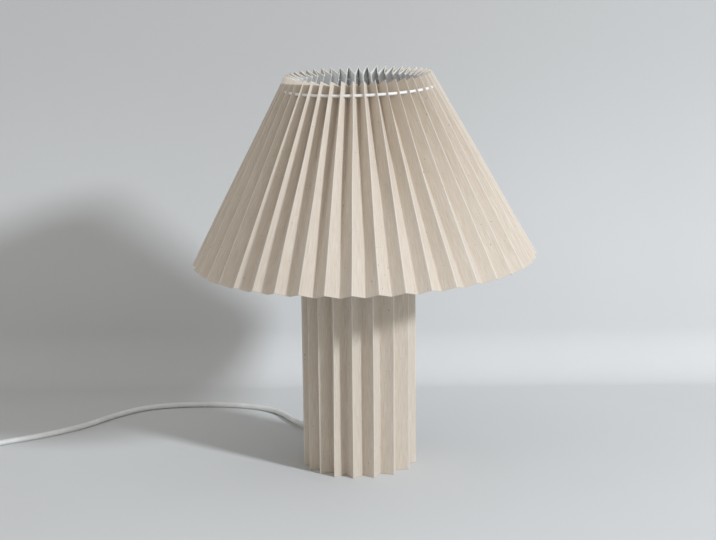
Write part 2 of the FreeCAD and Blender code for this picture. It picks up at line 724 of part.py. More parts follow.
def column_pieces():
    """The pleated sheet round its card tube. Returns the gland's azimuth in degrees and its direction."""
    radius = float(column_radius)
    solid, depths = folded_sheet(column_azimuths, (radius, 0.0), (radius, float(mm.column_height)),
                                 float(mm.pleat_width), float(mm.sheet_thickness))
    print(f"column: radius {radius:.2f}, pleat depth {depths[0]:.1f}")
    wanted = math.radians(float(mm.cord_exit_turn))
    gland = min(column_azimuths[1::2], key=lambda a: abs(math.remainder(a - wanted, 2 * math.pi)))
    gland_turn = math.degrees(gland)
    toward = Vector(math.cos(gland), math.sin(gland), 0)
    level = UP * float(mm.gland_level)
    hole = Part.makeCylinder(float(mm.gland_flange_radius + mm.gland_hole_gap), radius, level, toward)
    shaped("pleated_column", solid.cut(hole))

    turned("column_tube", ring_corners(tube_bore, mm.tube_radius, plate_level, mm.column_height))
    bore = doc.addObject("Part::Cylinder", "gland_bore")
    bind(bore, Radius=mm.gland_thread + mm.seat_gap, Height=mm.tube_radius * 2)
    bore.Placement = FreeCAD.Placement(level, FreeCAD.Rotation(UP, toward))
    cut("column_tube", blank_of("column_tube"), [bore])
    return gland_turn, toward


def gland_pieces(toward):
    """The gland with its tapered boot, and its nut, along the gland's own axis."""
    bore = cord_radius + mm.gland_bore_gap
    flange = mm.tube_radius + mm.seat_gap
    boot = flange + mm.gland_flange_thickness
    inner_end = gland_nut_reach - mm.seat_gap / 2
    place = FreeCAD.Placement(UP * float(mm.gland_level), FreeCAD.Rotation(UP, toward))
    gland = turned("cord_gland", [
        (bore, inner_end),
        (mm.gland_thread, inner_end),
        (mm.gland_thread, flange),
        (mm.gland_flange_radius, flange),
        (mm.gland_flange_radius, boot),
        (mm.gland_boot_root, boot),
        (mm.gland_boot_tip, gland_reach),
        (bore, gland_reach),
    ])
    gland.Placement = place
    nut = hex_nut("gland_nut", mm.gland_nut_flats, mm.gland_thread + mm.seat_gap / 4, mm.gland_nut_height,
                  gland_nut_reach)
    nut.Placement = place


# ---------------------------------------------------------------- head of the column

def head_pieces():
    hole = mm.nipple_radius + mm.nipple_gap
    spigot = tube_bore - mm.seat_gap
    turned("column_cap", [
        (hole, spigot_level), (spigot, spigot_level), (spigot, cap_level), (cap_radius, cap_level),
        (cap_radius, cap_top), (hole, cap_top),
    ])
    turned("threaded_tube", ring_corners(mm.nipple_bore, mm.nipple_radius, spigot_level - mm.nipple_below,
                                         cap_top + mm.nipple_above))
    washer_level = spigot_level - mm.washer_thickness
    turned("cap_washer", ring_corners(hole, mm.washer_radius, washer_level, spigot_level))
    hex_nut("cap_nut", mm.nut_flats, hole, mm.nut_height, washer_level - mm.nut_height)


def holder_pieces():
    """The lamp holder: two shells, the contact carrier, its contacts and screws."""
    hole = mm.nipple_radius + mm.nipple_gap
    inside = mm.holder_radius - mm.holder_wall
    floor = cap_top + mm.holder_floor
    turned("holder_base", [
        (hole, cap_top), (mm.holder_neck, cap_top), (mm.holder_radius, cap_top + mm.holder_neck_height),
        (mm.holder_radius, joint_level), (inside, joint_level), (inside, floor), (hole, floor),
    ])
    spigot = inside - mm.seat_gap
    inner_wall = spigot - mm.holder_wall / 2
    turned("holder_shell", [
        (inner_wall, joint_level - mm.holder_spigot), (spigot, joint_level - mm.holder_spigot),
        (spigot, joint_level), (mm.holder_radius, joint_level), (mm.holder_radius, flange_level),
        (mm.flange_radius, flange_level), (mm.flange_radius, fitter_level), (mm.holder_radius, fitter_level),
        (mm.holder_radius, holder_top), (mm.mouth_radius, holder_top),
        (mm.mouth_radius, core_top + mm.core_stop), (inner_wall, core_top + mm.core_stop),
    ])
    carrier = inner_wall - mm.seat_gap
    stem = mm.contact_radius / 2
    turned("contact_carrier", ring_corners(stem + mm.seat_gap / 2, carrier, core_level, core_top))
    turned("threaded_sleeve", [
        (mm.sleeve_radius, core_top + mm.sleeve_wall), (mm.sleeve_radius, core_top + mm.sleeve_height),
        (mm.sleeve_radius + mm.sleeve_wall, core_top + mm.sleeve_height),
        (mm.sleeve_radius + mm.sleeve_wall, core_top + mm.sleeve_wall),
        (carrier, core_top + mm.sleeve_wall), (carrier, core_top),
        (mm.sleeve_radius * 0.86, core_top), (mm.sleeve_radius * 0.86, core_top + mm.sleeve_wall),
    ])
    turned("centre_contact", [
        (ZERO, core_level - mm.contact_foot), (stem, core_level - mm.contact_foot),
        (stem, contact_top - mm.contact_head), (mm.contact_radius, contact_top - mm.contact_head * 0.7),
        (mm.contact_radius * 0.8, contact_top), (ZERO, contact_top),
    ])
    screws = []
    for side in (-1, 1):
        x = mm.terminal_spread * side
        head = cylinder(f"terminal_head_{side}", mm.terminal_radius, mm.terminal_height,
                        core_level - mm.terminal_height, x)
        groove = block(f"terminal_groove_{side}", mm.terminal_radius * 3, mm.terminal_groove,
                       mm.terminal_height / 2, x, ZERO, core_level - mm.terminal_height)
        screws.append(slotted(f"terminal_screw_{side}", [head], groove))
    group("terminal_screws", screws)


# ---------------------------------------------------------------- shade

def leaning():
    """Where the bent shade frame puts the shade: right side up, and a little off the axis."""
    pivot = UP * float(fitter_level)
    turn = FreeCAD.Rotation(ALONG_Y, -float(mm.shade_lean))
    return FreeCAD.Placement(Vector(float(mm.shade_shift), 0, 0), turn, pivot)


def shade_pieces():
    pleats = int(float(mm.shade_pleats))
    azimuths = fold_azimuths(pleats, float(mm.shade_fold_turn), float(mm.shade_bunching), -math.pi / 2)
    foot = (float(mm.shade_foot_radius), float(mm.shade_foot_level))
    head = (float(mm.shade_head_radius), float(mm.shade_head_level))
    solid, depths = folded_sheet(azimuths, foot, head, float(mm.pleat_width), float(mm.sheet_thickness))
    print(f"shade: pleat depth {depths[0]:.1f} at the foot, {depths[1]:.1f} at the head")
    lean = leaning()

    # the top ring runs through holes in the pleats' faces
    ring_level = head[1] - float(mm.ring_drop)
    fold_radius = head[0] + float(mm.ring_drop) * (foot[0] - head[0]) / (head[1] - foot[1])
    ring_radius = fold_radius - depths[1] * float(mm.ring_depth_share)
    wire = float(mm.wire_radius)
    clearance = wire + float(mm.ring_hole_gap)
    centre = UP * ring_level
    holes = [Part.makeTorus(ring_radius, clearance, centre)]
    ring = doc.addObject("Part::Torus", "top_ring")
    ring.Radius1 = ring_radius
    bind(ring, Radius2=mm.wire_radius)
    ring.Placement = lean.multiply(FreeCAD.Placement(centre, FreeCAD.Rotation()))
    keep("top_ring", ring)

    arms = []
    arm_level = float(collar_level) + wire
    spots = int(float(mm.arm_count))
    ridges = azimuths[0::2]
    for spot in range(spots):
        ridge = ridges[round(spot * len(ridges) / spots + 0.25 * len(ridges)) % len(ridges)]
        out = Vector(math.cos(ridge), math.sin(ridge), 0)
        top = lean.multVec(out * (ring_radius - wire - float(mm.arm_weld_gap)) + centre)
        points = [out * float(reach) + UP * arm_level for reach in (mm.arm_inner_reach, mm.arm_bend_reach)]
        points.append(top)
        path, _ = rounded_path(points, radius=float(mm.arm_bend))
        arms.append(tube_along(path, out, wire))
        room = tube_along(path, out, clearance)
        room.Placement = lean.inverse()
        holes.append(room)
    shaped("shade_arms", Part.makeCompound(arms))
    shaped("pleated_shade", solid.cut(holes), lean)

    hole = mm.holder_radius + mm.turning_gap
    turned("fitter_ring", ring_corners(hole, mm.fitter_radius, fitter_level, collar_level))


def collar_piece():
    """The threaded collar that holds the shade down, with grip notches."""
    hole = mm.holder_radius + mm.nipple_gap
    top = collar_level + mm.collar_height
    body = turned("shade_collar", [
        (hole, collar_level), (mm.collar_radius, collar_level), (mm.collar_radius, top - mm.collar_chamfer),
        (mm.collar_radius - mm.collar_chamfer, top), (hole, top),
    ])
    sketch = new_sketch(body, "XY_Plane")
    circle_at(sketch, mm.collar_notch_reach, ZERO, mm.collar_notch)
    pocket(body, sketch, mm.collar_notches)


# ---------------------------------------------------------------- bulb

def bulb_pieces():
    turned("bulb_tip", [
        (ZERO, bulb_tip_level), (mm.contact_radius * 0.7, bulb_tip_level),
        (mm.contact_radius, bulb_tip_level + mm.bulb_tip_height / 2),
        (mm.contact_radius, bulb_insulator_level),
        (ZERO, bulb_insulator_level),
    ])
    turned("bulb_insulator", [
        (ZERO, bulb_insulator_level), (mm.contact_radius * 1.25, bulb_insulator_level),
        (mm.bulb_insulator_radius, bulb_cap_level), (ZERO, bulb_cap_level),
    ])
    bulb_cap()
    bulb_housing()
    board = doc.addObject("PartDesign::Body", "led_board")
    sketch = new_sketch(board, "XY_Plane", bulb_dome_level - mm.led_board_thickness)
    circle_at(sketch, ZERO, ZERO, mm.led_board_radius)
    pad = board.newObject("PartDesign::Pad", "Pad")
    pad.Profile = sketch
    pad.setExpression("Length", mm.led_board_thickness.text)
    board.Tip = pad
    keep("led_board", board)
    bulb_dome()


def bulb_cap():
    """The rolled metal cap: a thin cup whose outside is the thread."""
    root = mm.bulb_cap_radius - mm.bulb_root_depth
    inside = root - mm.bulb_cap_wall
    floor_hole = inside - mm.bulb_cap_wall * 4
    ribs = int(float(mm.bulb_rib_count))
    rib = mm.bulb_cap_height / (ribs + 2)
    thread = [(root - mm.bulb_cap_wall * 0.75, bulb_cap_level)]
    for i in range(ribs):
        thread.append((root, bulb_cap_level + rib * (i + 0.5)))
        thread.append((mm.bulb_cap_radius, bulb_cap_level + rib * (i + 1)))
    thread.append((root, bulb_cap_level + rib * (ribs + 0.5)))
    floor_top = bulb_cap_level + mm.bulb_cap_wall * 1.5
    turned("bulb_cap", thread + [
        (root, bulb_housing_level), (inside, bulb_housing_level), (inside, floor_top),
        (floor_hole, floor_top), (floor_hole, bulb_cap_level),
    ])


def bulb_housing():
    """The plastic housing between cap and dome, flaring upwards, hollow."""
    low = bulb_housing_level
    wall = mm.bulb_housing_wall
    height = mm.bulb_housing_height
    outside = [
        (mm.bulb_housing_neck, low), (mm.bulb_housing_neck, low + height * 0.21),
        (mm.bulb_housing_waist, low + height * 0.48), (mm.bulb_housing_shoulder, low + height * 0.76),
        (mm.bulb_housing_rim, bulb_dome_level),
    ]
    inside = [
        (mm.bulb_housing_rim - wall, bulb_dome_level), (mm.bulb_housing_shoulder - wall, low + height * 0.81),
        (mm.bulb_housing_waist - wall, low + height * 0.53),
        (mm.bulb_housing_neck - wall * 1.4, low + height * 0.29), (mm.bulb_housing_neck - wall * 1.4, low),
    ]
    turned("bulb_housing", outside + inside)


def bulb_dome():
    """The opal dome: a sphere cut where it meets the housing, hollow."""
    centre = bulb_dome_level + mm.bulb_dome_rise
    outer = doc.addObject("Part::Sphere", "dome_outside")
    bind(outer, Radius=mm.bulb_radius)
    lift(outer, centre)
    inner = doc.addObject("Part::Sphere", "dome_inside")
    bind(inner, Radius=mm.bulb_radius - mm.bulb_wall)
    lift(inner, centre)
    below = cylinder("dome_below", mm.bulb_radius * 2, mm.bulb_radius * 2,
                     bulb_dome_level - mm.bulb_radius * 2)
    cut("bulb_dome", outer, [inner, below])


# ---------------------------------------------------------------- cord, switch, plug, coil

def cord_route(toward):
    """The stretch from the gland to the switch, along the floor."""
    tip = toward * float(gland_reach) + UP * float(mm.gland_level)
    out = tip + toward * 11.0 - UP * 0.8
    floor = float(cord_radius)
    switch_end = Vector(float(mm.switch_x), float(mm.switch_y + mm.switch_length / 2),
                        float(mm.switch_parting))
    return [
        tip,
        out,
        Vector(-40, 82, floor + 3.5),
        Vector(-59, 107, floor + 0.5),
        Vector(-82, 157, floor),
        Vector(-137, 176, floor),
        Vector(-203, 171, floor),
        Vector(-238, 139, floor),
        Vector(-262, 104, floor),
        Vector(-299, 74, floor),
        Vector(-338, 52, floor),
        Vector(-361, 19, 5),
        switch_end,
    ]


def inner_lead_route(toward):
    """From the gland through the ballast's slot to the axis and up through the threaded tube."""
    level = UP * float(mm.gland_level)
    return [
        toward * float(gland_reach) + level,
        level,
        UP * float(cap_top + mm.holder_floor + mm.holder_spigot),
    ]


def coil_wire():
    """A spiral in along the lower layer and out along the upper one, in biarcs of a quarter turn."""
    step = float(mm.coil_step)
    turns = float(mm.coil_turns)
    low = float(cord_radius + mm.coil_lift)
    middle = float(mm.coil_radius)
    reach = step * turns / 4
    climb = 0.25
    half = turns / 2

    def place(done):
        inward = done if done <= half else turns - done
        radius = middle + reach - step * inward
        rise = min(1.0, max(0.0, (done - half + climb) / (2 * climb)))
        level = low + step * (3 * rise ** 2 - 2 * rise ** 3)
        turn = -math.pi / 2 - 2 * math.pi * done
        return Vector(float(mm.coil_x) + radius * math.cos(turn),
                      float(mm.coil_y) + radius * math.sin(turn), level)

    def heading(done):
        small = 1e-4
        if done < 0.01:
            return Vector(-1, 0, 0)
        if done > turns - 0.01:
            return ALONG_Y
        ahead = place(done + small) - place(done - small)
        return ahead * (1 / ahead.Length)

    quarters = round(turns * 4)
    edges = []
    for i in range(quarters):
        edges += biarc(place(i / 4), heading(i / 4), place((i + 1) / 4), heading((i + 1) / 4))
    return Part.Wire(edges)


def least_self_gap(path, diameter):
    """Least distance between stretches of the coil that aren't neighbours along it, less the cord."""
    count = int(path.Length / 2.5)
    points = path.discretize(count)
    spacing = path.Length / (count - 1)
    apart = int(3.2 * diameter / spacing) + 1
    return min(points[i].distanceToPoint(points[j])
               for i in range(count) for j in range(i + apart, count)) - diameter


def cord_pieces(toward):
    radius = float(cord_radius)
    route = cord_route(toward)
    shaped("cord_run", cord_tube("cord_run", route, radius))

    lead, radii = rounded_path(inner_lead_route(toward), radius=float(mm.lead_bend))
    print(f"inner_lead: length {lead.Length:.1f}, bend radius {radii[0]:.0f}")
    shaped("inner_lead", tube_along(lead, toward * -1, radius))

    start = Vector(float(mm.switch_x), float(mm.switch_y - mm.switch_length / 2), float(mm.switch_parting))
    path = coil_wire()
    ends = path.discretize(2)
    print(f"cord_coil: length {path.Length:.1f}, least gap to itself {least_self_gap(path, 2 * radius):.2f}")
    enter, leave = ends[0], ends[-1]
    tail = [
        start,
        Vector(start.x, enter.y + 17.5, 5.5),
        Vector(start.x - 17.5, enter.y, enter.z),
        enter,
    ]
    shaped("cord_tail", cord_tube("cord_tail", tail, radius))
    shaped("cord_coil", tube_along(path, Vector(-1, 0, 0), radius))
    last = [
        leave,
        Vector(leave.x, leave.y + 18, leave.z - 0.6),
        Vector(float(mm.plug_x), float(mm.plug_y), float(mm.plug_thickness / 2)),
    ]
    shaped("cord_end", cord_tube("cord_end", last, radius))


def tie_piece():
    """A strap round the coil's turns, flat on the floor."""
    reach = float(mm.coil_step) * float(mm.coil_turns) / 4
    radius = float(cord_radius)
    gap = float(mm.tie_gap)
    near = float(mm.coil_radius) - reach - radius - gap
    far = float(mm.coil_radius) + reach + radius + gap
    thickness = float(mm.tie_thickness)
    top = float(mm.cord_diameter + mm.coil_lift + mm.coil_step) + gap
    length = far - near + 2 * thickness
    width = float(mm.tie_width)
    outside = Part.makeBox(length, width, top + thickness, Vector(near - thickness, -width / 2, 0))
    inside = Part.makeBox(far - near, width * 2, top - thickness, Vector(near, -width, thickness))
    strap = outside.cut(inside)
    corners = [e for e in strap.Edges if abs(e.tangentAt(e.FirstParameter).y) > 0.99]
    strap = strap.makeFillet(thickness * 0.4, corners)
    turn = FreeCAD.Rotation(UP, float(mm.tie_turn))
    place = FreeCAD.Placement(Vector(float(mm.coil_x), float(mm.coil_y), 0), turn)
    shaped("coil_tie", strap, place)


def switch_shell(node, low, high):
    """Half of the switch's housing as a block with rounded corners."""
    half_width = mm.switch_width / 2
    half_length = mm.switch_length / 2
    body = padded(node, [(-half_width, -half_length), (half_width, -half_length), (half_width, half_length),
                         (-half_width, half_length)], low, high)
    round_edges(body, mm.switch_corner, lambda e: abs(e.tangentAt(e.FirstParameter).z) > 0.99)
    lift(body, ZERO, mm.switch_x, mm.switch_y)
    return blank_of(node)


def switch_pieces():
    """The inline switch: two shells, rocker, screws and contacts."""
    wall = mm.switch_wall
    joint = mm.switch_parting
    lower = switch_shell("switch_base", ZERO, joint)
    upper = switch_shell("switch_cover", joint, mm.switch_height)
    hollow = block("switch_hollow", mm.switch_width - wall * 2, mm.switch_length - mm.switch_end * 2,
                   mm.switch_height - wall * 2, mm.switch_x, mm.switch_y, wall)
    throats = []
    holes = []
    screws = []
    screw_y = mm.switch_length / 2 - mm.switch_screw_inset
    for side in (-1, 1):
        throats.append(cylinder(f"switch_throat_{side}", mm.switch_throat, mm.switch_end * 2, joint,
                                mm.switch_x, mm.switch_y + mm.switch_length / 2 * side, Vector(0, -side, 0)))
        x = mm.switch_x + mm.switch_screw_spread * side
        y = mm.switch_y + screw_y * side
        holes.append(cylinder(f"switch_screw_hole_{side}", mm.clamp_screw_radius + mm.screw_clearance,
                              mm.switch_height - wall / 2, -wall / 4, x, y))
        screws.append(cylinder(f"switch_screw_{side}", mm.clamp_screw_radius, mm.switch_height - wall,
                               wall / 4, x, y))
    group("switch_screws", screws)
    cut("switch_base", lower, [hollow] + throats + holes)

    half_window = mm.rocker_width / 2 + mm.rocker_gap
    window = block("switch_window", half_window * 2, mm.rocker_length + mm.rocker_end_gap * 2,
                   mm.switch_height, mm.switch_x, mm.switch_y, joint + wall / 2)
    shell = doc.addObject("Part::Cut", "switch_cover_hollow")
    shell.Base = upper
    shell.Tool = fused("switch_cover_tools", [hollow, window] + throats + holes)
    ear_level = mm.rocker_pivot - mm.rocker_pin_radius * 2
    ears = [block(f"switch_ear_{side}", mm.rocker_ear, mm.rocker_ear_length,
                  mm.switch_height - wall - ear_level,
                  mm.switch_x + (half_window + mm.rocker_ear / 2) * side, mm.switch_y, ear_level)
            for side in (-1, 1)]
    reach = half_window + mm.rocker_ear * 2
    bore = cylinder("rocker_bore", mm.rocker_pin_radius + mm.rocker_pin_gap, reach * 2, mm.rocker_pivot,
                    mm.switch_x - reach, mm.switch_y, ALONG_X)
    cut("switch_cover", fused("switch_cover_eared", [shell] + ears), [bore])
    rocker_piece()

    group("switch_contacts", [
        block(f"switch_contact_{side}", mm.contact_width, mm.contact_length, mm.contact_height, mm.switch_x,
              mm.switch_y + mm.contact_offset * side, wall) for side in (-1, 1)])


def rocker_piece():
    """The rocker: level on its pressed side, raised by the throw on the other, with pivot pins."""
    half = mm.rocker_length / 2
    raised = half * 0.86
    rise = raised * math.tan(math.radians(float(mm.rocker_throw)))
    top = mm.switch_height - mm.rocker_pivot
    padded("switch_rocker", [
        (-(half * 0.5), -mm.rocker_belly), (half * 0.5, -mm.rocker_belly), (half, -mm.rocker_skirt),
        (half, top), (ZERO, top), (-raised, top + rise), (-half, -mm.rocker_skirt),
    ], -(mm.rocker_width / 2), mm.rocker_width / 2, "YZ_Plane")
    reach = mm.rocker_width / 2 + mm.rocker_gap + mm.rocker_ear * 0.75
    pins = cylinder("rocker_pins", mm.rocker_pin_radius, reach * 2, ZERO, -reach, ZERO, ALONG_X)
    rocker = fused("switch_rocker", [blank_of("switch_rocker"), pins])
    keep("switch_rocker", rocker)
    lift(rocker, mm.rocker_pivot, mm.switch_x, mm.switch_y)


def plug_pieces():
    """The plug with its tapered boot, lying flat, and its two round pins."""
    half = mm.plug_width / 2
    middle = mm.plug_thickness / 2
    face = mm.plug_boot + mm.plug_length
    shoulder = mm.plug_boot + mm.plug_taper
    side = [(mm.plug_neck, mm.plug_boot - mm.plug_round), (half * 0.8, mm.plug_boot + mm.plug_taper * 0.55),
            (half, shoulder), (half, face - mm.plug_face_edge), (half * 0.86, face)]
    mirrored = [(-across, up) for across, up in reversed(side)]
    body = padded("plug_body", side + mirrored, ZERO, mm.plug_thickness)
    round_edges(body, mm.plug_round, lambda e: abs(e.tangentAt(e.FirstParameter).z) < 0.01
                and e.BoundBox.YMax < float(face) - 0.1)
    lift(body, ZERO, mm.plug_x, mm.plug_y)
    boot = cone("plug_boot_cone", mm.plug_boot_tip, mm.plug_neck, mm.plug_boot, middle, mm.plug_x,
                mm.plug_y, ALONG_Y)
    pins, sockets = [], []
    for side in (-0.5, 0.5):
        for name, made in (("plug_pin", pins), ("plug_socket", sockets)):
            made.append(cylinder(f"{name}_{side}", mm.pin_radius, mm.pin_length + mm.pin_seat, middle,
                                 mm.plug_x + mm.pin_spacing * side, mm.plug_y + face - mm.pin_seat, ALONG_Y))
    cut("plug_body", fused("plug_solid", [blank_of("plug_body"), boot]), sockets)
    group("plug_pins", pins)


def check_and_write():
    doc.recompute()
    for item in doc.Objects:
        if {"Invalid", "Error"} & set(item.State):
            raise ValueError(f"{item.Label} failed: {item.State}")
    os.makedirs("parts", exist_ok=True)
    for node, piece in PARTS.items():
        shape = piece.Shape
        if shape.isNull() or not shape.isValid():
            raise ValueError(f"{node} has no valid shape")
        if not shape.Solids:
            raise ValueError(f"{node} has no solid")
        shape.exportStep(f"parts/{node}.step")
        print(f"{node}: {len(shape.Solids)} solid(s), {shape.Volume:.0f} mm3")


gland_turn, toward = column_pieces()
foot_pieces(gland_turn)
gland_pieces(toward)
head_pieces()
holder_pieces()
shade_pieces()
collar_piece()
bulb_pieces()
cord_pieces(toward)
tie_piece()
switch_pieces()
plug_pieces()
check_and_write()
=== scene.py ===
"""Pleated paper table lamp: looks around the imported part. Metres, +Z up, -Y towards the camera."""
import math

import bmesh
import bpy
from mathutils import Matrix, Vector, noise


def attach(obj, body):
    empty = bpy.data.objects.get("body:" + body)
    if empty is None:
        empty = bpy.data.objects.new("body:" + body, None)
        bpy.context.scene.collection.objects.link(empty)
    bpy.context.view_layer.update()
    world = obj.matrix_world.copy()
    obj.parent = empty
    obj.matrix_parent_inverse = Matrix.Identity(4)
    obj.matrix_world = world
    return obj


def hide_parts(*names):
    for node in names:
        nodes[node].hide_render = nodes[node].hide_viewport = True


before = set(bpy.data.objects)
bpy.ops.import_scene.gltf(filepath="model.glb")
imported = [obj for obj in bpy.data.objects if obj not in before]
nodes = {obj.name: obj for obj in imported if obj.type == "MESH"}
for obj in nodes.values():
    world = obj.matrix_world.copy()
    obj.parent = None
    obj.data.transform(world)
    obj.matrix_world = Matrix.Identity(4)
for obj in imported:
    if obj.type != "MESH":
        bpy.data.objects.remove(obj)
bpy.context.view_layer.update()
scene = bpy.context.scene

# ------------------------------------------------------------------ sizes (metres, degrees)
# Camera, fitted to the photograph
CAMERA_PLACE = (0.0, -1.539, 0.5061)
CAMERA_PITCH = 12.158
CAMERA_ROLL = 0.535
FOCAL_PIXELS = 1800.0
IMAGE_WIDTH = 716.0
SENSOR_WIDTH = 36.0

# The folded sheets
SHEET_THICKNESS = 0.0006
PLEAT_WIDTH = 0.013
FOLD_REACH = 0.0008  # the rounding of a fold takes this much of each face
RIM_SHARE = 0.003  # a narrow row of faces keeps each rim crisp
FACE_BOW = 0.0009  # a face bends out of its plane by up to about this much
SHADE = {
    "pleats": 45, "foot": (0.150, 0.186), "head": (0.0635, 0.347),
    "first": -94.0, "bunching": 0.05, "wide_side": -90.0,
    "rows": 30, "unevenness": 0.0011, "seed": 3.0,
}
SHADE_LEAN = 1.5
SHADE_SHIFT = 0.0045
SHADE_PIVOT = 0.239
COLUMN = {
    "pleats": 18, "foot": (0.0504, 0.0), "head": (0.0504, 0.195),
    "first": -85.0, "bunching": 0.2, "wide_side": 0.0,
    "rows": 24, "unevenness": 0.0005, "seed": 21.0,
}

# The cord
CORD_DIAMETER = 0.005
CORD_RADIUS = CORD_DIAMETER / 2
GLAND_AZIMUTH = 116.07
GLAND_LEVEL = 0.0115
GLAND_REACH = 0.066
SWITCH_X = -0.362
SWITCH_Y = -0.038
SWITCH_HALF = 0.031
SWITCH_THROAT_LEVEL = 0.009
COIL_PLACE = (-0.424, -0.0715)
COIL_RADIUS = 0.030
COIL_TURNS = 6.25
COIL_STEP = 0.0056
COIL_LIFT = 0.0009
PLUG_CORD_END = (-0.4638, -0.034, 0.0068)

# The room
BACKDROP_PLACE = 0.285
BACKDROP_BEND = 0.05
BEND_STEPS = 16
PAINTED_SHADE_RISE = (0.10, 0.42)  # painted shade: the backdrop is painted darker between these levels
ROOM_SIDE = 1.9
ROOM_FRONT = -1.9
ROOM_HEIGHT = 1.6

# The light: the world's from all sides, and two lamps at one place, given by its azimuth
# from the camera's side round to the right, its elevation and its distance
KEY_PLACE = (52.0, 27.0, 3.6)
KEY_SIZE = 0.42
KEY_WATTS = 85.0
WASH_WATTS = 42.0
KEY_AIM = (0.0, 0.0, 0.15)
KEY_COLOR = (0.87, 0.93, 1.0)
WORLD_COLOR = (1.0, 0.99, 0.965)
WORLD_STRENGTH = 0.61


# ------------------------------------------------------------------ camera

def make_camera():
    data = bpy.data.cameras.new("camera")
    data.sensor_width = SENSOR_WIDTH
    data.lens = FOCAL_PIXELS / IMAGE_WIDTH * SENSOR_WIDTH
    data.clip_start = 0.01
    camera = bpy.data.objects.new("camera", data)
    scene.collection.objects.link(camera)
    camera.location = CAMERA_PLACE
    pitch = math.radians(90.0 - CAMERA_PITCH)
    camera.rotation_mode = "XYZ"
    look = Vector((0, math.sin(pitch), -math.cos(pitch)))
    camera.rotation_euler = look.to_track_quat("-Z", "Y").to_euler()
    camera.rotation_euler.rotate_axis("Z", -math.radians(CAMERA_ROLL))
    scene.camera = camera


# ------------------------------------------------------------------ materials

class Shader:
    """A node material with a Principled surface, and short ways to add nodes to it."""

    def __init__(self, name, color, roughness=0.6, metallic=0.0):
        self.material = bpy.data.materials.new(name)
        self.material.use_nodes = True
        self.tree = self.material.node_tree
        self.surface = self.tree.nodes["Principled BSDF"]
        self.surface.inputs["Base Color"].default_value = (*color, 1.0)
        self.surface.inputs["Roughness"].default_value = roughness
        self.surface.inputs["Metallic"].default_value = metallic
        self.material.diffuse_color = (*color, 1.0)

    def add(self, kind, **settings):
        node = self.tree.nodes.new(kind)
        for key, value in settings.items():
            setattr(node, key, value)
        return node

    def link(self, source, target):
        self.tree.links.new(source, target)

    def place(self, scale, source="Object"):
        """Coordinates of the piece, stretched by scale."""
        where = self.add("ShaderNodeTexCoord")
        mapping = self.add("ShaderNodeMapping")
        mapping.inputs["Scale"].default_value = scale
        self.link(where.outputs[source], mapping.inputs["Vector"])
        return mapping.outputs["Vector"]

    def grain(self, scale, detail=4.0, source="Object", rough=0.6):
        """Noise, finer where scale is larger; three scales stretch it."""
        texture = self.add("ShaderNodeTexNoise")
        texture.inputs["Scale"].default_value = 1.0
        texture.inputs["Detail"].default_value = detail
        texture.inputs["Roughness"].default_value = rough
        self.link(self.place(scale, source), texture.inputs["Vector"])
        return texture.outputs["Fac"]

    def ramp(self, factor, low, high, start=0.0, end=1.0):
        """From start to end while factor goes from low to high."""
        node = self.add("ShaderNodeMapRange", interpolation_type="SMOOTHSTEP")
        for name, value in (("From Min", low), ("From Max", high), ("To Min", start), ("To Max", end)):
            node.inputs[name].default_value = value
        self.link(factor, node.inputs["Value"])
        return node.outputs["Result"]

    def math(self, operation, a, b=0.0, c=0.0):
        node = self.add("ShaderNodeMath", operation=operation)
        for socket, value in zip(node.inputs, (a, b, c)):
            if isinstance(value, (int, float)):
                socket.default_value = value
            else:
                self.link(value, socket)
        return node.outputs["Value"]

    def mix(self, factor, a, b):
        """Colour a, or b where factor is 1; either is a colour or another node's output."""
        node = self.add("ShaderNodeMix", data_type="RGBA")
        if isinstance(factor, (int, float)):
            node.inputs["Factor"].default_value = factor
        else:
            self.link(factor, node.inputs["Factor"])
        for name, value in (("A", a), ("B", b)):
            socket = next(s for s in node.inputs if s.name == name and s.type == "RGBA")
            if isinstance(value, tuple):
                socket.default_value = (*value, 1.0)
            else:
                self.link(value, socket)
        return next(s for s in node.outputs if s.type == "RGBA")

    def color(self, output):
        self.link(output, self.surface.inputs["Base Color"])

    def roughness(self, output):
        self.link(output, self.surface.inputs["Roughness"])

    def bump(self, height, strength, distance):
        node = self.add("ShaderNodeBump")
        node.inputs["Strength"].default_value = strength
        node.inputs["Distance"].default_value = distance
        self.link(height, node.inputs["Height"])
        self.link(node.outputs["Normal"], self.surface.inputs["Normal"])


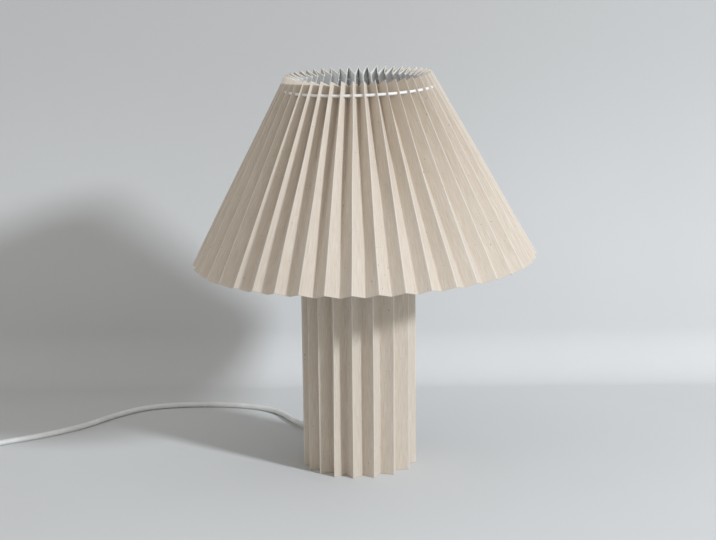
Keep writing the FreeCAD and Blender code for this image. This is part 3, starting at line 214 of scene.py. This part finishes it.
def linen_paper():
    """Natural linen laminated on paper: threads along the pleats, slubs, dark specks, and a painted
    highlight along the outer folds.
    """
    s = Shader("linen_paper", (0.587, 0.532, 0.466), 0.82)
    uv = s.add("ShaderNodeUVMap", uv_map="Sheet")
    split = s.add("ShaderNodeSeparateXYZ")
    s.link(uv.outputs["UV"], split.inputs["Vector"])
    across, along = split.outputs["X"], split.outputs["Y"]

    def threads(across_scale, along_scale, detail):
        joined = s.add("ShaderNodeCombineXYZ")
        s.link(s.math("MULTIPLY", across, across_scale), joined.inputs["X"])
        s.link(s.math("MULTIPLY", along, along_scale), joined.inputs["Y"])
        texture = s.add("ShaderNodeTexNoise")
        texture.inputs["Scale"].default_value = 1.0
        texture.inputs["Detail"].default_value = detail
        texture.inputs["Roughness"].default_value = 0.65
        s.link(joined.outputs["Vector"], texture.inputs["Vector"])
        return texture.outputs["Fac"]

    warp = threads(1500.0, 60.0, 3.0)
    weft = threads(90.0, 1300.0, 3.0)
    slubs = threads(520.0, 26.0, 2.0)
    clouds = threads(34.0, 16.0, 3.0)
    speckle = threads(430.0, 260.0, 1.0)
    tone = s.mix(s.ramp(warp, 0.32, 0.68), (0.561, 0.478, 0.393), (0.676, 0.605, 0.519))
    tone = s.mix(s.ramp(weft, 0.60, 0.80, 0.0, 0.25), tone, (0.703, 0.646, 0.572))
    tone = s.mix(s.ramp(slubs, 0.60, 0.78, 0.0, 0.45), tone, (0.472, 0.378, 0.281))
    tone = s.mix(s.ramp(clouds, 0.35, 0.70, 0.0, 0.35), tone, (0.596, 0.514, 0.417))
    tone = s.mix(s.ramp(speckle, 0.735, 0.765, 0.0, 0.6), tone, (0.22, 0.145, 0.08))

    # painted highlight: the outer folds are painted paler, as if they caught the light; the mask is the
    # distance across the sheet to the nearest of them
    offset = s.math("PINGPONG", across, PLEAT_WIDTH)
    fold_highlight = s.ramp(offset, 0.0003, 0.0011, 0.55, 0.0)
    tone = s.mix(fold_highlight, tone, (0.748, 0.705, 0.65))
    s.color(tone)
    s.roughness(s.ramp(warp, 0.3, 0.7, 0.74, 0.9))
    s.bump(s.math("ADD", s.math("MULTIPLY", weft, 0.6), warp), 0.35, 0.00012)
    s.surface.inputs["Sheen Weight"].default_value = 0.12
    s.surface.inputs["Sheen Roughness"].default_value = 0.5
    return s.material


def paper_lining():
    """White paper on the sheet's inner side."""
    s = Shader("paper_lining", (0.78, 0.78, 0.765), 0.85)
    fibre = s.grain((900.0, 900.0, 220.0), 3.0)
    s.color(s.mix(s.ramp(fibre, 0.3, 0.7), (0.74, 0.738, 0.72), (0.82, 0.82, 0.81)))
    s.bump(fibre, 0.2, 0.00008)
    return s.material


def paper_edge():
    """The sheet's cut edge, between the linen's tone and the lining's."""
    s = Shader("paper_edge", (0.80, 0.77, 0.71), 0.85)
    fibre = s.grain((1400.0, 1400.0, 1400.0), 2.0)
    s.color(s.mix(s.ramp(fibre, 0.35, 0.7), (0.74, 0.70, 0.63), (0.85, 0.83, 0.79)))
    s.bump(fibre, 0.3, 0.00008)
    return s.material


def moulded_plastic(name, color, roughness=0.38, grain_scale=900.0, relief=0.00003):
    """Moulded plastic: a faint grain, a little unevenness in tone and gloss."""
    s = Shader(name, color, roughness)
    fine = s.grain((grain_scale,) * 3, 2.0)
    broad = s.grain((35.0, 35.0, 35.0), 3.0)
    dark = tuple(c * 0.93 for c in color)
    s.color(s.mix(s.ramp(broad, 0.3, 0.7), dark, color))
    s.roughness(s.ramp(fine, 0.3, 0.7, roughness * 0.85, roughness * 1.15))
    s.bump(fine, 0.25, relief)
    return s.material


def brushed_metal(name, color, roughness=0.3, stretch=(60.0, 60.0, 2600.0)):
    """Metal with fine turning or rolling lines and slightly uneven gloss."""
    s = Shader(name, color, roughness, 1.0)
    lines = s.grain(stretch, 3.0)
    broad = s.grain((90.0, 90.0, 90.0), 3.0)
    dark = tuple(c * 0.8 for c in color)
    s.color(s.mix(s.ramp(broad, 0.3, 0.75), dark, color))
    s.roughness(s.ramp(lines, 0.25, 0.75, roughness * 0.7, roughness * 1.4))
    s.bump(lines, 0.3, 0.00004)
    return s.material


def fibreboard():
    s = Shader("fibreboard", (0.40, 0.29, 0.18), 0.8)
    chips = s.grain((380.0, 380.0, 900.0), 5.0)
    specks = s.grain((1500.0, 1500.0, 1500.0), 2.0)
    tone = s.mix(s.ramp(chips, 0.3, 0.7), (0.31, 0.215, 0.13), (0.48, 0.36, 0.23))
    s.color(s.mix(s.ramp(specks, 0.62, 0.75, 0.0, 0.6), tone, (0.16, 0.10, 0.055)))
    s.bump(chips, 0.35, 0.0001)
    return s.material


def wound_card():
    """Grey-brown card with the slanting seam lines of a wound tube."""
    s = Shader("wound_card", (0.42, 0.33, 0.23), 0.85)
    fibre = s.grain((260.0, 260.0, 900.0), 4.0)
    wave = s.add("ShaderNodeTexWave", wave_type="BANDS", bands_direction="DIAGONAL")
    wave.inputs["Scale"].default_value = 9.0
    wave.inputs["Distortion"].default_value = 0.4
    s.link(s.place((1.0, 1.0, 2.2)), wave.inputs["Vector"])
    tone = s.mix(s.ramp(fibre, 0.3, 0.7), (0.36, 0.28, 0.19), (0.48, 0.385, 0.275))
    s.color(s.mix(s.ramp(wave.outputs["Fac"], 0.0, 0.04, 0.6, 0.0), tone, (0.20, 0.145, 0.09)))
    s.bump(fibre, 0.3, 0.0001)
    return s.material


def felt():
    s = Shader("felt", (0.035, 0.034, 0.034), 0.95)
    fluff = s.grain((1300.0, 1300.0, 1300.0), 5.0, rough=0.75)
    s.color(s.mix(s.ramp(fluff, 0.35, 0.7), (0.018, 0.018, 0.019), (0.075, 0.072, 0.07)))
    s.bump(fluff, 0.8, 0.0003)
    s.surface.inputs["Sheen Weight"].default_value = 0.4
    return s.material


def opal():
    """Opal plastic dome, unlit: white, softly letting light through."""
    s = Shader("opal", (0.86, 0.85, 0.81), 0.32)
    s.surface.inputs["Subsurface Weight"].default_value = 0.25
    s.surface.inputs["Subsurface Radius"].default_value = (0.004, 0.0038, 0.0032)
    s.surface.inputs["Subsurface Scale"].default_value = 1.0
    haze = s.grain((60.0, 60.0, 60.0), 2.0)
    s.color(s.mix(s.ramp(haze, 0.3, 0.7), (0.83, 0.82, 0.775), (0.88, 0.875, 0.84)))
    return s.material


def led_face():
    """White solder-masked board with yellow light-emitting chips."""
    s = Shader("led_face", (0.75, 0.75, 0.74), 0.45)
    cells = s.add("ShaderNodeTexVoronoi", voronoi_dimensions="2D")
    cells.inputs["Randomness"].default_value = 0.0
    cells.inputs["Scale"].default_value = 1.0
    s.link(s.place((160.0, 160.0, 160.0)), cells.inputs["Vector"])
    chips = s.ramp(cells.outputs["Distance"], 0.20, 0.24, 1.0, 0.0)
    s.color(s.mix(chips, (0.75, 0.75, 0.74), (0.80, 0.60, 0.08)))
    return s.material


def flex():
    """White round cord: smooth sheath with a faint satin drag and handling marks."""
    s = Shader("flex", (0.78, 0.78, 0.77), 0.42)
    marks = s.grain((70.0, 70.0, 70.0), 4.0)
    fine = s.grain((1200.0, 1200.0, 1200.0), 2.0)
    s.color(s.mix(s.ramp(marks, 0.35, 0.7), (0.73, 0.73, 0.715), (0.81, 0.81, 0.80)))
    s.roughness(s.ramp(fine, 0.3, 0.7, 0.36, 0.5))
    s.bump(fine, 0.2, 0.00003)
    return s.material


def studio_paper():
    """Pale grey paper of the floor and backdrop, with painted shade making it a little darker higher up."""
    s = Shader("studio_paper", (0.57, 0.573, 0.573), 0.9)
    broad = s.grain((2.2, 2.2, 2.2), 3.0)
    height = s.add("ShaderNodeSeparateXYZ")
    s.link(s.place((1.0, 1.0, 1.0)), height.inputs["Vector"])
    low = s.mix(s.ramp(broad, 0.3, 0.7), (0.565, 0.566, 0.562), (0.585, 0.586, 0.582))
    # painted shade: a darker colour higher up the backdrop
    s.color(s.mix(s.ramp(height.outputs["Z"], *PAINTED_SHADE_RISE), low, (0.46, 0.458, 0.452)))
    s.surface.inputs["Specular IOR Level"].default_value = 0.2
    return s.material


def dress_nodes():
    """Gives each CAD node that stays its material."""
    white = moulded_plastic("white_moulding", (0.80, 0.80, 0.79))
    zinc = brushed_metal("zinc_plate", (0.62, 0.62, 0.64), 0.36)
    brass = brushed_metal("plated_brass", (0.78, 0.68, 0.46), 0.26)
    board = fibreboard()
    looks = {
        moulded_plastic("white_enamel", (0.83, 0.83, 0.82), 0.34, 500.0, 0.00005):
            ["top_ring", "shade_arms", "fitter_ring"],
        white: ["cord_gland", "gland_nut", "holder_base", "holder_shell", "shade_collar", "bulb_housing",
                "coil_tie", "switch_base", "switch_cover", "plug_body"],
        moulded_plastic("rocker_moulding", (0.74, 0.74, 0.73), 0.28): ["switch_rocker"],
        moulded_plastic("carrier_moulding", (0.56, 0.55, 0.52), 0.6): ["contact_carrier"],
        moulded_plastic("bead", (0.03, 0.03, 0.032), 0.2): ["bulb_insulator"],
        zinc: ["base_screws", "cord_clamp", "clamp_screws", "threaded_tube", "cap_washer", "cap_nut",
               "switch_screws"],
        brushed_metal("cast_weight", (0.34, 0.34, 0.35), 0.5, (500.0, 500.0, 500.0)): ["ballast_disc"],
        brass: ["threaded_sleeve", "centre_contact", "terminal_screws", "switch_contacts"],
        brushed_metal("plated_pins", (0.80, 0.79, 0.75), 0.2): ["plug_pins"],
        brushed_metal("rolled_aluminium", (0.80, 0.80, 0.81), 0.28): ["bulb_cap", "bulb_tip"],
        board: ["base_plate", "column_cap"],
        wound_card(): ["column_tube"],
        felt(): ["foot_pad"],
        led_face(): ["led_board"],
        opal(): ["bulb_dome"],
        flex(): ["inner_lead"],
    }
    for material, names in looks.items():
        for name in names:
            for slot in nodes[name].material_slots:
                slot.material = material


# ------------------------------------------------------------------ folded sheets

def fold_azimuths(shape):
    """Azimuths of the folds in radians, outer and inner in turn, a little wider on one side."""
    wide_side = math.radians(shape["wide_side"])
    azimuths = []
    for k in range(2 * shape["pleats"]):
        even = math.radians(shape["first"]) + math.pi * k / shape["pleats"]
        azimuths.append(even + shape["bunching"] * math.sin(even - wide_side))
    return azimuths


def fold_ends(shape):
    """Foot and head of each fold line: outer folds on the two rims, inner folds square behind them."""
    azimuths = fold_azimuths(shape)
    foot, head = shape["foot"], shape["head"]
    slope = math.atan2(foot[0] - head[0], head[1] - foot[1])
    outward, upward = math.cos(slope), math.sin(slope)
    folds = len(azimuths)
    lines = []
    for k, azimuth in enumerate(azimuths):
        before = (azimuth - azimuths[k - 1]) % (2 * math.pi)
        after = (azimuths[(k + 1) % folds] - azimuth) % (2 * math.pi)
        half_pitch = (before + after) / 2
        direction = Vector((math.cos(azimuth), math.sin(azimuth), 0))
        ends = []
        for radius, level in (foot, head):
            bend = radius * (1 - math.cos(half_pitch))
            depth = outward * bend + math.sqrt((outward * bend) ** 2 - 2 * radius * bend + PLEAT_WIDTH ** 2)
            sink = depth if k % 2 else 0.0
            ends.append(direction * (radius - sink * outward) + Vector((0, 0, level - sink * upward)))
        lines.append(ends)
    return lines


def wander(seed, k, t, size, pace=1.7):
    """Smooth unevenness along fold k, none of it at random from run to run."""
    return size * noise.noise(Vector((seed + 7.31 * k, pace * t, 0.37 * k)))


def folded_piece(name, shape, materials):
    """The folded sheet as a skin with rounded folds, then given its thickness."""
    lines = fold_ends(shape)
    folds = len(lines)
    rows, unevenness, seed = shape["rows"], shape["unevenness"], shape["seed"]
    heights = [0.0, RIM_SHARE] + [row / rows for row in range(1, rows)] + [1.0 - RIM_SHARE, 1.0]
    tangents = (0.0, 0.25, 0.5, 0.75)
    across_face = (0.0, 0.05, 0.2, 0.4, 0.6, 0.8, 0.95)
    mesh = bpy.data.meshes.new(name)
    work = bmesh.new()
    uv_layer = work.loops.layers.uv.new("Sheet")
    grid, measures = [], []
    for t in heights:
        corners = []
        for k, (foot, head) in enumerate(lines):
            point = foot.lerp(head, t)
            out = Vector((point.x, point.y, 0)).normalized()
            side = Vector((-out.y, out.x, 0))
            loose = 0.35 + 0.65 * math.sin(math.pi * min(1.0, 0.15 + 0.85 * t))
            point = point + out * wander(seed, k, t, unevenness * loose) \
                + side * wander(seed + 50.0, k, t, unevenness * 1.1 * loose)
            corners.append(point)
        ring, spots = [], []
        for k in range(folds):
            corner, nxt, before = corners[k], corners[(k + 1) % folds], corners[k - 1]
            ahead = (nxt - corner).normalized()
            back = (before - corner).normalized()
            enter = corner + back * FOLD_REACH
            leave = corner + ahead * FOLD_REACH
            for w in tangents:
                ring.append(enter * (1 - w) ** 2 + corner * (2 * w * (1 - w)) + leave * w ** 2)
                spots.append(PLEAT_WIDTH * k + FOLD_REACH * (2 * w - 1))
            far = nxt + (corner - nxt).normalized() * FOLD_REACH
            normal = (nxt - corner).cross(Vector((0, 0, 1))).normalized()
            bow = wander(seed + 90.0, k, t, FACE_BOW, 1.1)
            for w in across_face:
                ring.append(leave.lerp(far, w) + normal * bow * 4 * w * (1 - w))
                spots.append(PLEAT_WIDTH * k + FOLD_REACH + (PLEAT_WIDTH - 2 * FOLD_REACH) * w)
        grid.append([work.verts.new(p) for p in ring])
        measures.append(spots)
    count = len(grid[0])
    length = (lines[0][1] - lines[0][0]).length
    for row in range(len(heights) - 1):
        low, high = length * heights[row], length * heights[row + 1]
        for i in range(count):
            n = (i + 1) % count
            face = work.faces.new((grid[row][i], grid[row][n], grid[row + 1][n], grid[row + 1][i]))
            face.smooth = True
            ends = measures[row][i], measures[row][n] if n else PLEAT_WIDTH * folds - FOLD_REACH
            corner_uvs = ((ends[0], low), (ends[1], low), (ends[1], high), (ends[0], high))
            for loop, corner_uv in zip(face.loops, corner_uvs):
                loop[uv_layer].uv = corner_uv
    work.to_mesh(mesh)
    work.free()
    piece = bpy.data.objects.new(name, mesh)
    scene.collection.objects.link(piece)
    for material in materials:
        mesh.materials.append(material)
    solid = piece.modifiers.new("Thickness", "SOLIDIFY")
    solid.thickness = SHEET_THICKNESS
    solid.offset = -1.0
    solid.use_even_offset = True
    solid.thickness_clamp = 0.0
    solid.material_offset = 1
    solid.material_offset_rim = 2
    return piece


def make_sheets():
    """Shade and column in the same laminate."""
    materials = [linen_paper(), paper_lining(), paper_edge()]
    shade = folded_piece("shade_sheet", SHADE, materials)
    lean = math.radians(-SHADE_LEAN)
    pivot = Vector((0, 0, SHADE_PIVOT))
    for vertex in shade.data.vertices:
        arm = vertex.co - pivot
        turned = Vector((arm.x * math.cos(lean) + arm.z * math.sin(lean), arm.y,
                         arm.z * math.cos(lean) - arm.x * math.sin(lean)))
        vertex.co = pivot + turned + Vector((SHADE_SHIFT, 0, 0))
    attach(shade, "shade")
    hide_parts("pleated_shade")

    column = folded_piece("column_sheet", COLUMN, materials)
    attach(column, "base")
    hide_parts("pleated_column")


# ------------------------------------------------------------------ cord

def cord_curve(name, points, material):
    """A cord on one smooth NURBS spline through its chosen points."""
    data = bpy.data.curves.new(name, "CURVE")
    data.dimensions = "3D"
    data.bevel_depth = CORD_RADIUS
    data.bevel_resolution = 5
    data.resolution_u = 14
    data.use_fill_caps = True
    spline = data.splines.new("NURBS")
    spline.points.add(len(points) - 1)
    for point, place in zip(spline.points, points):
        point.co = (*place, 1.0)
    spline.order_u = 3
    spline.use_endpoint_u = True
    data.materials.append(material)
    piece = bpy.data.objects.new(name, data)
    scene.collection.objects.link(piece)
    return piece


def gland_point(reach, drop=0.0):
    azimuth = math.radians(GLAND_AZIMUTH)
    return (reach * math.cos(azimuth), reach * math.sin(azimuth), GLAND_LEVEL - drop)


def lamp_route():
    """From the gland's boot along the floor to the switch."""
    low = CORD_RADIUS
    return [
        gland_point(GLAND_REACH),
        gland_point(GLAND_REACH + 0.011, 0.0008),
        (-0.040, 0.082, low + 0.0035),
        (-0.059, 0.107, low + 0.0005),
        (-0.082, 0.157, low),
        (-0.137, 0.176, low),
        (-0.203, 0.171, low),
        (-0.238, 0.139, low),
        (-0.262, 0.104, low),
        (-0.299, 0.074, low),
        (-0.338, 0.052, low),
        (-0.361, 0.019, 0.005),
        (SWITCH_X, SWITCH_Y + SWITCH_HALF, SWITCH_THROAT_LEVEL),
    ]


def coil_points():
    """Points of the coil: in along the lower layer, out along the upper one."""
    per_turn = 16
    reach = COIL_STEP * COIL_TURNS / 4
    half = COIL_TURNS / 2
    climb = 0.25
    points = []
    for i in range(round(per_turn * COIL_TURNS) + 1):
        done = i / per_turn
        inward = done if done <= half else COIL_TURNS - done
        radius = COIL_RADIUS + reach - COIL_STEP * inward
        radius /= math.cos(math.pi / per_turn) ** 0.5
        rise = min(1.0, max(0.0, (done - half + climb) / (2 * climb)))
        level = CORD_RADIUS + COIL_LIFT + COIL_STEP * (3 * rise ** 2 - 2 * rise ** 3)
        turn = -math.pi / 2 - 2 * math.pi * done
        x = COIL_PLACE[0] + radius * math.cos(turn)
        y = COIL_PLACE[1] + radius * math.sin(turn)
        points.append((x, y, level))
    return points


def plug_route():
    """From the switch into the coil, round it and out to the plug."""
    start = (SWITCH_X, SWITCH_Y - SWITCH_HALF, SWITCH_THROAT_LEVEL)
    coil = coil_points()
    enter, leave = coil[0], coil[-1]
    return [
        start,
        (start[0], enter[1] + 0.0175, 0.0055),
        (start[0] - 0.0175, enter[1], enter[2]),
        *coil,
        (leave[0], leave[1] + 0.018, leave[2] - 0.0006),
        PLUG_CORD_END,
    ]


def make_cords():
    sheath = flex()
    to_switch = cord_curve("cord_to_switch", lamp_route(), sheath)
    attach(to_switch, "base")
    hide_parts("cord_run")

    to_plug = cord_curve("cord_to_plug", plug_route(), sheath)
    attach(to_plug, "base")
    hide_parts("cord_tail", "cord_coil", "cord_end")


# ------------------------------------------------------------------ room and light

def make_room():
    """Floor and backdrop in one sheet of paper, bent where they meet."""
    profile = [(ROOM_FRONT, 0.0), (BACKDROP_PLACE - BACKDROP_BEND, 0.0)]
    for i in range(1, BEND_STEPS + 1):
        turn = math.pi / 2 * i / BEND_STEPS
        profile.append((BACKDROP_PLACE - BACKDROP_BEND + BACKDROP_BEND * math.sin(turn),
                        BACKDROP_BEND * (1 - math.cos(turn))))
    profile.append((BACKDROP_PLACE, ROOM_HEIGHT))
    mesh = bpy.data.meshes.new("studio_sweep")
    vertices = [(x, y, z) for y, z in profile for x in (-ROOM_SIDE, ROOM_SIDE)]
    faces = [(2 * i, 2 * i + 1, 2 * i + 3, 2 * i + 2) for i in range(len(profile) - 1)]
    mesh.from_pydata(vertices, [], faces)
    for face in mesh.polygons:
        face.use_smooth = True
    mesh.materials.append(studio_paper())
    sweep = bpy.data.objects.new("studio_sweep", mesh)
    scene.collection.objects.link(sweep)
    return sweep


def area_light(name, azimuth, elevation, distance, size, watts, aim, color):
    """A round lamp; azimuth is from the camera's side round to the right."""
    data = bpy.data.lights.new(name, "AREA")
    data.shape = "DISK"
    data.size = size
    data.energy = watts
    data.color = color
    lamp = bpy.data.objects.new(name, data)
    scene.collection.objects.link(lamp)
    a, e = math.radians(azimuth), math.radians(elevation)
    way = Vector((math.sin(a) * math.cos(e), -math.cos(a) * math.cos(e), math.sin(e)))
    lamp.location = Vector(aim) + way * distance
    lamp.rotation_euler = way.to_track_quat("Z", "Y").to_euler()
    return lamp


def make_light(sweep):
    """Warm even room light, a cool lamp from the right, and more of it on the backdrop alone."""
    world = bpy.data.worlds.new("world")
    scene.world = world
    world.use_nodes = True
    background = world.node_tree.nodes["Background"]
    background.inputs["Color"].default_value = (*WORLD_COLOR, 1.0)
    background.inputs["Strength"].default_value = WORLD_STRENGTH
    area_light("key", *KEY_PLACE, KEY_SIZE, KEY_WATTS, KEY_AIM, KEY_COLOR)
    wash = area_light("backdrop_wash", *KEY_PLACE, KEY_SIZE, WASH_WATTS, KEY_AIM, KEY_COLOR)
    lit = bpy.data.collections.new("lit_by_wash")
    lit.objects.link(sweep)
    wash.light_linking.receiver_collection = lit
    scene.view_settings.view_transform = "Standard"


# ------------------------------------------------------------------ all together

make_camera()
make_cords()
make_sheets()
dress_nodes()
make_light(make_room())
